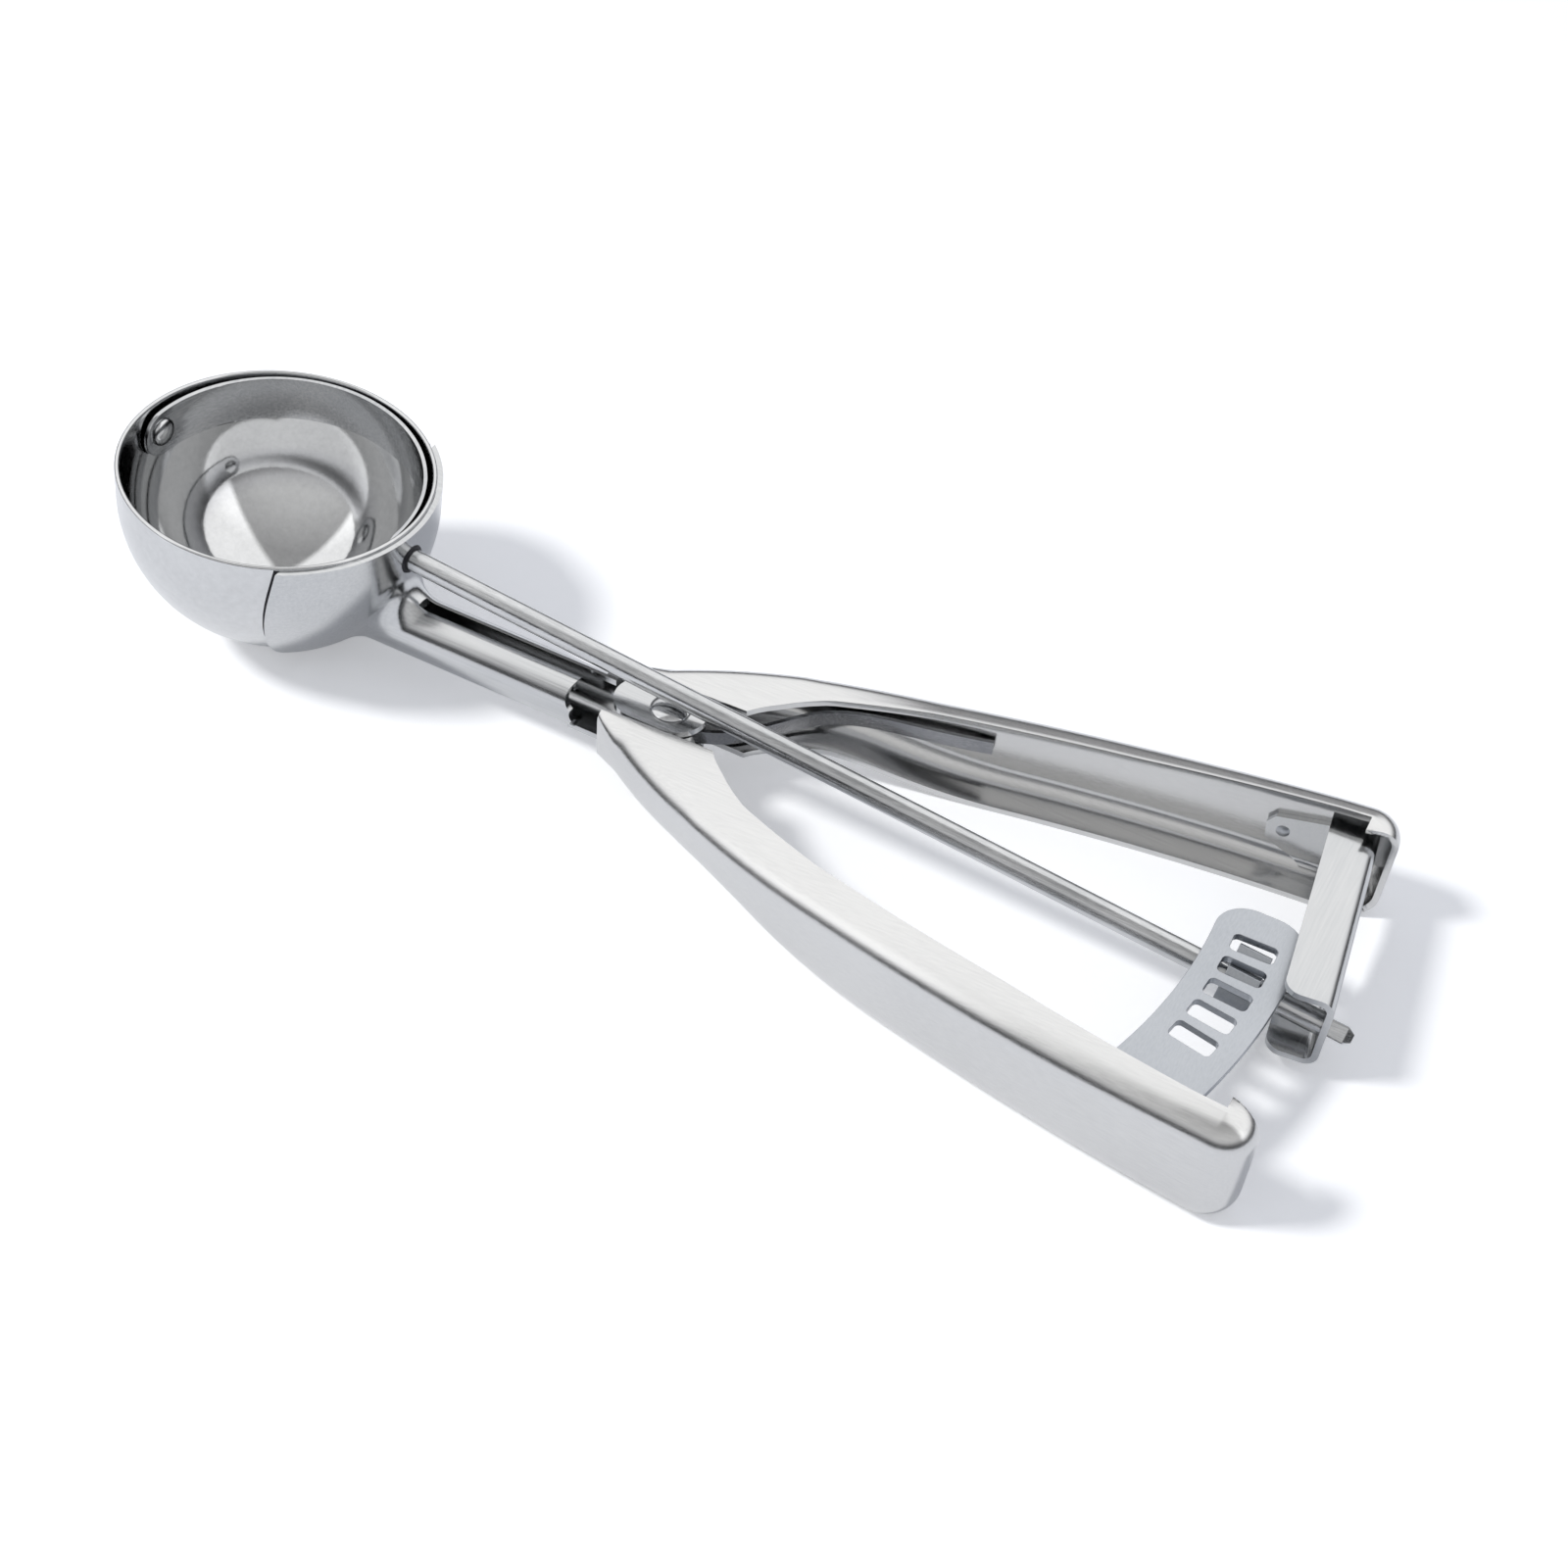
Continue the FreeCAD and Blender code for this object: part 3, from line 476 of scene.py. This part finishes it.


# Painted shade: a thin black strip on the bowl along the collar's front edge, for the shade of the gap
# there.
collar = bmesh.new()
collar.from_mesh(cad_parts["neck_shank"].data)
bmesh.ops.remove_doubles(collar, verts=collar.verts, dist=1e-6)
gap_shade_strip = bmesh.new()
for face in collar.faces:
    if face.normal.x > facing_front:
        continue
    for rail in face.edges:
        ends = [spot.co.copy() for spot in rail.verts]
        if max((end - on_bowl(end, 0)).length for end in ends) > gap_shade_lift:
            continue
        ends += [end + face.normal * gap_shade_width for end in reversed(ends)]
        low = [gap_shade_strip.verts.new(on_bowl(end, -gap_shade_lift)) for end in ends]
        high = [gap_shade_strip.verts.new(on_bowl(end, gap_shade_lift)) for end in ends]
        gap_shade_strip.faces.new(low)
        gap_shade_strip.faces.new(high)
        for k in range(4):
            gap_shade_strip.faces.new((low[k], low[(k + 1) % 4], high[(k + 1) % 4], high[k]))
collar.free()
bmesh.ops.remove_doubles(gap_shade_strip, verts=gap_shade_strip.verts, dist=1e-6)
bmesh.ops.recalc_face_normals(gap_shade_strip, faces=gap_shade_strip.faces)
gap_shade_piece = finish_piece("collar_gap_painted_shade", mesh_of("gap_shade_strip", gap_shade_strip), painted_gap_shade)
# A small ring shaped like the hole's flared rim, coloured black as painted shade of the hole.
hole_radius = 0.00184
hole_low = 0.0252
hole_sides = 48
hole_shade_profile = [
    (hole_radius, hole_low), (0.0024, hole_low), (0.0025, 0.0257),
    (0.0023, 0.0261), (hole_radius, 0.0262), (hole_radius, hole_low)]
hole_shade_mesh = turned(hole_shade_profile, hole_sides, lay @ Matrix.Rotation(math.pi / 2, 4, "Y"))
hole_shade_piece = finish_piece("rod_hole_painted_shade", hole_shade_mesh, painted_gap_shade)
for piece in (gap_shade_piece, hole_shade_piece):
    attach(piece, "frame")

# Handles: two channels drawn from 1 mm sheet, open towards each other, satin brushed lengthwise.
# The far one is welded to the neck. The near one has two lugs that swing on the rivet.
handle_steel = steel(
    "handle_steel", pale=(0.7, 0.7, 0.695), dark=(0.62, 0.62, 0.62),
    smooth=0.17, rough=0.25, lines=4200, stretch=0.02, smear=35, depth=0.00002)
handle_sheet = 0.001
wall_spots = [
    (-0.014768, 0.0074), (0.004432, 0.0182), (0.026432, 0.0253), (0.055432, 0.0316),
    (0.094932, 0.0369)]
wall_start = math.radians(37)
wall_step = 0.0013
heel_steps = 60
bend_steps = 12
heel_turn = 0.0052
flange = 0.0077
flange_from = 0.004432
belly_from = 0.002432
belly_to = 0.042432
front_low = 0.0054
top_round = 0.0048
low_round = 0.0042
top_flange = 0.0064
top_fall = math.radians(13)
top_front = 0.0143
top_rise = 0.04
sheet_front = -0.015568


def top_of(x):
    """Top side of a handle, which rises slowly from the pivot to the heel."""
    return top_front + top_rise * (x - sheet_front)


def low_of(x):
    """Underside of a handle: high at the pivot, down on the table behind the belly."""
    half = (belly_to - belly_from) / 2
    big = (half ** 2 + (front_low / 2) ** 2) / front_low
    if x < belly_from:
        return front_low
    if x < belly_from + half:
        return front_low - big + math.sqrt(big ** 2 - (x - belly_from) ** 2)
    if x < belly_to:
        return big - math.sqrt(big ** 2 - (belly_to - x) ** 2)
    return 0.0


def wall_stations():
    """Places along a handle's outer wall in plan, each with its inward direction."""
    found = []
    heading = Vector((math.cos(wall_start), math.sin(wall_start)))
    for start, end in zip(wall_spots, wall_spots[1:]):
        start, end = Vector(start), Vector(end)
        inward = Vector((heading.y, -heading.x))
        radius = (end - start).length_squared / (2 * (end - start).dot(inward))
        centre = start + inward * radius
        first = math.atan2(start.y - centre.y, start.x - centre.x)
        last = math.atan2(end.y - centre.y, end.x - centre.x)
        steps = max(8, round((end - start).length / wall_step))
        for k in range(steps):
            a = first + (last - first) * k / steps
            out = Vector((math.cos(a), math.sin(a)))
            found.append((centre + out * radius, -out))
        heading = Vector((math.sin(last), -math.cos(last)))
    centre = Vector(wall_spots[-1]) - Vector((math.cos(last), math.sin(last))) * heel_turn
    for k in range(heel_steps + 1):
        a = last + (-math.pi / 2 - last) * k / heel_steps
        out = Vector((math.cos(a), math.sin(a)))
        found.append((centre + out * heel_turn, -out))
    return found, centre


def handle_mesh(inner_limit):
    """Drawn channel of a handle on the +Y side, before its sheet gets its thickness."""
    stations, heel_centre = wall_stations()
    lip_end = Vector(wall_spots[-1]) + Vector((0.0007, -flange))
    heel_cut = Vector((heel_centre.x + heel_turn + 0.004, lip_end.y + 0.004))
    slant = 0.0075
    crown_from, crown_run = 0.008, 0.02
    narrow_from, narrow_run = 0.06, 0.03
    shape = bmesh.new()
    rows = []
    for k, (spot, inward) in enumerate(stations):
        turned_by = k - (len(stations) - heel_steps - 1)
        if turned_by > 0:
            lip = heel_centre
        elif spot.x < flange_from:
            lip = Vector((spot.x, inner_limit))
        else:
            lip = spot + inward * flange
            share = min(1, (spot.x - flange_from) / slant)
            corner = Vector((flange_from + (spot.x - flange_from) * 0.2, inner_limit))
            lip = corner.lerp(lip, share ** 0.8)
        depth = (lip - spot).length
        way = (lip - spot) / depth
        behind = min(1, max(0, (spot.x - crown_from) / crown_run))
        fall = top_fall * behind
        nearing = min(1, max(0, (spot.x - narrow_from) / narrow_run))
        narrow = top_flange + (heel_turn - top_flange) * nearing
        reach = depth + (min(depth, narrow) - depth) * behind
        upper = min(low_round + (top_round - low_round) * behind, reach * 0.8)
        lower = min(low_round, depth * 0.8)
        bend = upper * (1 - math.sin(fall))
        drop = (reach - bend) * math.tan(fall)
        row = []
        for flat in (1.0, 0.6, 0.3):
            at = spot + way * (bend + (reach - bend) * flat)
            row.append((at, top_of(at.x) - drop * (1 - flat)))
        for step in range(bend_steps + 1):
            a = fall + (math.pi / 2 - fall) * step / bend_steps
            at = spot + way * upper * (1 - math.sin(a))
            row.append((at, top_of(at.x) - drop - upper * (math.cos(fall) - math.cos(a))))
        high = top_of(spot.x) - drop - upper * math.cos(fall)
        low = low_of(spot.x) + lower
        for flat in (0.33, 0.67):
            row.append((spot, high + (low - high) * flat))
        for step in range(bend_steps + 1):
            a = math.pi / 2 * step / bend_steps
            at = spot + way * lower * (1 - math.cos(a))
            row.append((at, low_of(at.x) + lower * (1 - math.sin(a))))
        for flat in (0.3, 0.6, 1.0):
            at = spot + way * (lower + (depth - lower) * flat)
            row.append((at, low_of(at.x)))
        rows.append([shape.verts.new((at.x, at.y, height)) for at, height in row])
    for low, high in zip(rows, rows[1:]):
        for k in range(len(low) - 1):
            shape.faces.new((low[k], low[k + 1], high[k + 1], high[k]))
    shape.faces.new(rows[0])
    bmesh.ops.remove_doubles(shape, verts=shape.verts, dist=1e-6)
    across = (heel_cut - lip_end).normalized()
    bmesh.ops.bisect_plane(
        shape, geom=shape.verts[:] + shape.edges[:] + shape.faces[:], dist=1e-7, clear_outer=True,
        plane_co=(lip_end.x, lip_end.y, 0), plane_no=(across.y, -across.x, 0))
    bmesh.ops.recalc_face_normals(shape, faces=shape.faces)
    outer_spot = Vector((0.055, 0.0316, 0.009))
    outer = min(shape.faces, key=lambda face: (face.calc_center_median() - outer_spot).length)
    if outer.normal.y < 0:
        bmesh.ops.reverse_faces(shape, faces=shape.faces)
    return mesh_of("handle", shape)


def lug_mesh(pivot, side, low, high):
    """Flat lug of the near handle with a round end about the rivet, between two heights."""
    eye = 0.0034
    eye_steps = 24
    front, rear = pivot - 0.0065, 0.0029
    outline = [(front, side)]
    for k in range(eye_steps + 1):
        a = math.pi + math.pi * k / eye_steps
        outline.append((pivot + eye * math.cos(a), eye * math.sin(a)))
    outline.append((rear, side))
    shape = bmesh.new()
    bottom = shape.faces.new([shape.verts.new((x, y, low)) for x, y in outline])
    grown = bmesh.ops.extrude_face_region(shape, geom=[bottom])
    raised = [v for v in grown["geom"] if isinstance(v, bmesh.types.BMVert)]
    bmesh.ops.translate(shape, vec=(0, 0, high - low), verts=raised)
    bmesh.ops.recalc_face_normals(shape, faces=shape.faces)
    return mesh_of("lug", shape)


def thickened(name, mesh, material, thickness, bevel):
    """Mesh of a sheet with its thickness, if it needs one, and with rounded cut edges."""
    piece = finish_piece(name, mesh, material)
    if thickness:
        wall = piece.modifiers.new("sheet", "SOLIDIFY")
        wall.thickness = thickness
        wall.offset = -1
        wall.use_even_offset = True
    edge = piece.modifiers.new("edge", "BEVEL")
    edge.width = bevel
    edge.segments = 3
    edge.limit_method = "ANGLE"
    edge.angle_limit = 0.9
    made = applied(piece)
    bpy.data.objects.remove(piece)
    return made


pivot_x = -0.006068
far_shell = thickened(
    "far_shell", handle_mesh(inner_limit=0.005), handle_steel, handle_sheet, bevel=0.0002)
near_shell = thickened(
    "near_shell", handle_mesh(inner_limit=0.0056), handle_steel, handle_sheet, bevel=0.0002)
riser_middle = Vector((-0.0025, 0.0061, 0.0131))
riser_size = Vector((0.0138, 0.001, 0.0021))
riser = bmesh.new()
bmesh.ops.create_cube(riser, size=1, matrix=Matrix.LocRotScale(riser_middle, None, riser_size))
lug_side = 0.0066
near_all = bmesh.new()
near_all.from_mesh(near_shell)
for low, high in ((0.012, 0.013), (0.0054, 0.0064)):
    lug = lug_mesh(pivot_x, lug_side, low, high)
    near_all.from_mesh(thickened("lug", lug, handle_steel, thickness=0, bevel=0.00012))
near_all.from_mesh(mesh_of("riser", riser))
bmesh.ops.transform(near_all, matrix=Matrix.Diagonal((1, -1, 1, 1)), verts=near_all.verts)
bmesh.ops.reverse_faces(near_all, faces=near_all.faces)
near_made = mesh_of("near_handle", near_all)
far_handle = finish_piece("far_handle", far_shell, handle_steel, sharp=0.5)
near_handle = finish_piece("near_handle", near_made, handle_steel, sharp=0.5)
for piece, node, body in ((far_handle, "fixed_handle", "frame"),
                          (near_handle, "moving_handle", "squeeze_handle")):
    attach(piece, body)
    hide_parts(node)

# Pivot: a solid rivet through ears and lugs, headed at both ends, with a short barrel on it that
# keeps the lugs apart inside the spring's eye.
ear_top = 0.0142
ear_bottom = 0.0042
head_sink = 0.00002
pivot_radius = 0.0017
pivot_sides = 48
pivot_spots = [((pivot_x, 0, ear_top - head_sink), (0, 0, 1)),
               ((pivot_x, 0, ear_bottom + head_sink), (0, 0, -1))]
pivot_heads = dome_group(
    "pivot_heads", pivot_spots, radius=0.0033, height=0.0011, material=rivet_steel)
shank_profile = [
    (0, ear_bottom), (pivot_radius, ear_bottom), (pivot_radius, ear_top), (0, ear_top)]
shank_mesh = turned(shank_profile, pivot_sides, Matrix.Translation((pivot_x, 0, 0)))
pivot_shank = finish_piece("pivot_shank", shank_mesh, rivet_steel)
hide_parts("pivot_rivet")
barrel = smooth_copy("pivot_barrel", "pivot_spacer", rod_steel, sharp=0.6, bevel=0)
for piece, finish in ((pivot_heads, "polished_steel"), (pivot_shank, "polished_steel"),
                      (barrel, "drawn_steel")):
    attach(piece, "frame")

# Handle spring: one strip of spring steel, with an eye about the pivot and a leg along the inside of
# each handle, its colour painted dark for the shade it lies in between the handles. The near leg
# follows the near handle.
# Dark colours: painted shade of the channel that the spring lies in.
shaded_spring_steel = steel(
    "spring_strip", pale=(0.34, 0.345, 0.36), dark=(0.2, 0.205, 0.22),
    smooth=0.16, rough=0.3, lines=4200, stretch=0.03, smear=120, depth=0.00001)
spring_piece = smooth_copy("spring_legs", "handle_spring", shaded_spring_steel, sharp=0.6, bevel=0)
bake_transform(spring_piece, "frame", "squeeze_handle",
         start=(pivot_x, 0.0005, 0.008), end=(pivot_x + 0.003, -0.0045, 0.008))

# Rack, pinion and their weld marks: a stamped sector plate with a slot for each tooth, its tab
# welded to the near handle, and a five-toothed wheel pressed on the rod below it.
rack_steel = steel(
    "rack_steel", pale=(0.5, 0.52, 0.55), dark=(0.41, 0.43, 0.46),
    smooth=0.28, rough=0.42, lines=3800, stretch=0.25, smear=90, depth=0.00003, axis="Y")
rack_piece = smooth_copy("rack_sector", "rack_plate", rack_steel, sharp=0.6, bevel=0.00012)
rack_pips = smooth_copy("rack_welds", "rack_weld_pips", rack_steel, sharp=0.6, bevel=0)
for piece in (rack_piece, rack_pips):
    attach(piece, "squeeze_handle")
pinion_piece = smooth_copy("pinion_wheel", "pinion", rack_steel, sharp=0.5, bevel=0.0001)
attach(pinion_piece, "blade_shaft")

# Bearing bracket: a polished strip welded inside the far handle, folded to a channel whose rear
# wall guides the rod.
bracket_steel = steel(
    "bracket_steel", pale=(0.6, 0.605, 0.61), dark=(0.53, 0.54, 0.55),
    smooth=0.12, rough=0.22, lines=2600, stretch=0.04, smear=80, depth=0.00002, axis="Y")
bracket_piece = smooth_copy(
    "bracket_channel", "bearing_bracket", bracket_steel, sharp=0.6, bevel=0.00012)
bracket_pip = smooth_copy(
    "bracket_weld", "bracket_weld_pip", rack_steel, sharp=0.6, bevel=0)
for piece, finish in ((bracket_piece, "polished_steel"), (bracket_pip, "satin_steel")):
    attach(piece, "frame")

# Floor: a plain white table that keeps the scoop's soft shadow. It shines a little of itself to
# the camera and to mirrors, so that its lit part is white.
floor_mesh = bpy.data.meshes.new("floor")
floor_half = 3
floor_mesh.from_pydata([(-floor_half, -floor_half, 0), (floor_half, -floor_half, 0),
                        (floor_half, floor_half, 0), (-floor_half, floor_half, 0)],
                       [], [(0, 1, 2, 3)])
floor = bpy.data.objects.new("floor", floor_mesh)
bpy.context.collection.objects.link(floor)
table_white = bpy.data.materials.new("table_white")
table_white.use_nodes = True
tree = table_white.node_tree
paper = tree.nodes["Principled BSDF"]
paper.inputs["Base Color"].default_value = (0.93, 0.935, 0.945, 1)
paper.inputs["Roughness"].default_value = 1.0
paper.inputs["Specular IOR Level"].default_value = 0.0
glow = tree.nodes.new("ShaderNodeEmission")
glow.inputs["Color"].default_value = (1, 1, 1, 1)
seen = tree.nodes.new("ShaderNodeLightPath")
mirrored = tree.nodes.new("ShaderNodeMath")
mirrored.operation = "MULTIPLY"
mirrored.inputs[1].default_value = 0.1
lift = tree.nodes.new("ShaderNodeMath")
lift.operation = "MULTIPLY_ADD"
lift.inputs[1].default_value = 0.27
both = tree.nodes.new("ShaderNodeAddShader")
tree.links.new(seen.outputs["Is Glossy Ray"], mirrored.inputs[0])
tree.links.new(seen.outputs["Is Camera Ray"], lift.inputs[0])
tree.links.new(mirrored.outputs[0], lift.inputs[2])
tree.links.new(lift.outputs[0], glow.inputs["Strength"])
tree.links.new(paper.outputs[0], both.inputs[0])
tree.links.new(glow.outputs[0], both.inputs[1])
tree.links.new(both.outputs[0], tree.nodes["Material Output"].inputs["Surface"])
floor_mesh.materials.append(table_white)

# Studio: one lamp at the left in front and a pale blue light from all round. The steel mirrors a
# room of its own: bright walls behind the scoop, a window on the viewer's side, a darker ceiling
# that ends in a corner, and a dark strip at eye level.
lamp_spot = Vector((-1.3, -0.8, 1.6))
lamp = bpy.data.lights.new("key", "AREA")
lamp.shape = "DISK"
lamp.size = 0.42
lamp.energy = 31.0
lamp.color = (1, 0.995, 0.985)
holder = bpy.data.objects.new("key", lamp)
holder.location = lamp_spot
holder.rotation_euler = (-lamp_spot).to_track_quat("-Z", "Y").to_euler()
holder.visible_glossy = False
bpy.context.collection.objects.link(holder)
room = bpy.data.worlds.new("room")
bpy.context.scene.world = room
room.use_nodes = True
tree = room.node_tree
sky = tree.nodes["Background"]
sky.inputs["Color"].default_value = (0.86, 0.9, 1.0, 1)
sky.inputs["Strength"].default_value = 0.5
white = tree.nodes.new("ShaderNodeBackground")
white.inputs["Color"].default_value = (1, 1, 1, 1)
walls = tree.nodes.new("ShaderNodeBackground")
toward = tree.nodes.new("ShaderNodeTexCoord")
height = tree.nodes.new("ShaderNodeSeparateXYZ")
rise = tree.nodes.new("ShaderNodeValToRGB")
rise.color_ramp.elements[0].color = (0.03, 0.032, 0.036, 1)
rise.color_ramp.elements[1].position = 0.55
for place, grey in ((0.13, 0.05), (0.27, 0.3), (0.4, 0.85)):
    rise.color_ramp.elements.new(place).color = (grey, grey, grey * 1.02, 1)
tree.links.new(toward.outputs["Generated"], height.inputs[0])
tree.links.new(height.outputs["Z"], rise.inputs[0])
sides = []
for way in ((0.356, 0.934, 0), (-0.934, 0.356, 0), (-0.409, 0.912, 0)):
    side = tree.nodes.new("ShaderNodeVectorMath")
    side.operation = "DOT_PRODUCT"
    side.inputs[1].default_value = way
    tree.links.new(toward.outputs["Generated"], side.inputs[0])
    sides.append(side.outputs["Value"])
corner = tree.nodes.new("ShaderNodeMath")
corner.operation = "MAXIMUM"
tree.links.new(sides[0], corner.inputs[0])
tree.links.new(sides[1], corner.inputs[1])
hood = tree.nodes.new("ShaderNodeMapRange")
window = tree.nodes.new("ShaderNodeMapRange")
for node, spans in ((hood, (0.15, 0.22, 0.34, 1.0)), (window, (-0.75, -0.1, 1.7, 1.0))):
    for name, value in zip(("From Min", "From Max", "To Min", "To Max"), spans):
        node.inputs[name].default_value = value
tree.links.new(corner.outputs[0], hood.inputs["Value"])
tree.links.new(sides[2], window.inputs["Value"])
shade = tree.nodes.new("ShaderNodeMath")
shade.operation = "MULTIPLY"
tree.links.new(hood.outputs[0], shade.inputs[0])
tree.links.new(window.outputs[0], shade.inputs[1])
brightness = tree.nodes.new("ShaderNodeMath")
brightness.operation = "MULTIPLY"
brightness.inputs[1].default_value = 1.25
tree.links.new(shade.outputs[0], brightness.inputs[0])
tree.links.new(rise.outputs[0], walls.inputs["Color"])
tree.links.new(brightness.outputs[0], walls.inputs["Strength"])
seen = tree.nodes.new("ShaderNodeLightPath")
either = tree.nodes.new("ShaderNodeMath")
either.operation = "ADD"
blend = tree.nodes.new("ShaderNodeMixShader")
mirror = tree.nodes.new("ShaderNodeMixShader")
tree.links.new(seen.outputs["Is Camera Ray"], either.inputs[0])
tree.links.new(seen.outputs["Is Transmission Ray"], either.inputs[1])
tree.links.new(either.outputs[0], blend.inputs[0])
tree.links.new(sky.outputs[0], blend.inputs[1])
tree.links.new(white.outputs[0], blend.inputs[2])
tree.links.new(seen.outputs["Is Glossy Ray"], mirror.inputs[0])
tree.links.new(blend.outputs[0], mirror.inputs[1])
tree.links.new(walls.outputs[0], mirror.inputs[2])
tree.links.new(mirror.outputs[0], tree.nodes["World Output"].inputs["Surface"])
bpy.context.scene.view_settings.view_transform = "Standard"

# Camera: where the photograph was taken from, above the near handle, looking along the scoop.
azimuth = math.radians(24.1645)
elevation = math.radians(43.237)
roll = math.radians(6.073)
forward = Vector((-math.sin(azimuth) * math.cos(elevation), math.cos(azimuth) * math.cos(elevation),
                  -math.sin(elevation)))
level = Vector((math.cos(azimuth), math.sin(azimuth), 0))
upward = level.cross(forward)
right = math.cos(roll) * level + math.sin(roll) * upward
up = -math.sin(roll) * level + math.cos(roll) * upward
lens = bpy.data.cameras.new("camera")
lens.lens = 49.833
lens.sensor_width = 36.0
lens.clip_start = 0.01
camera = bpy.data.objects.new("camera", lens)
bpy.context.collection.objects.link(camera)
stand_at = Vector((0.192501 + bowl_x, -0.220084, 0.235544))
camera.matrix_world = Matrix((
    (right.x, up.x, -forward.x, stand_at.x),
    (right.y, up.y, -forward.y, stand_at.y),
    (right.z, up.z, -forward.z, stand_at.z),
    (0, 0, 0, 1)))
bpy.context.scene.camera = camera
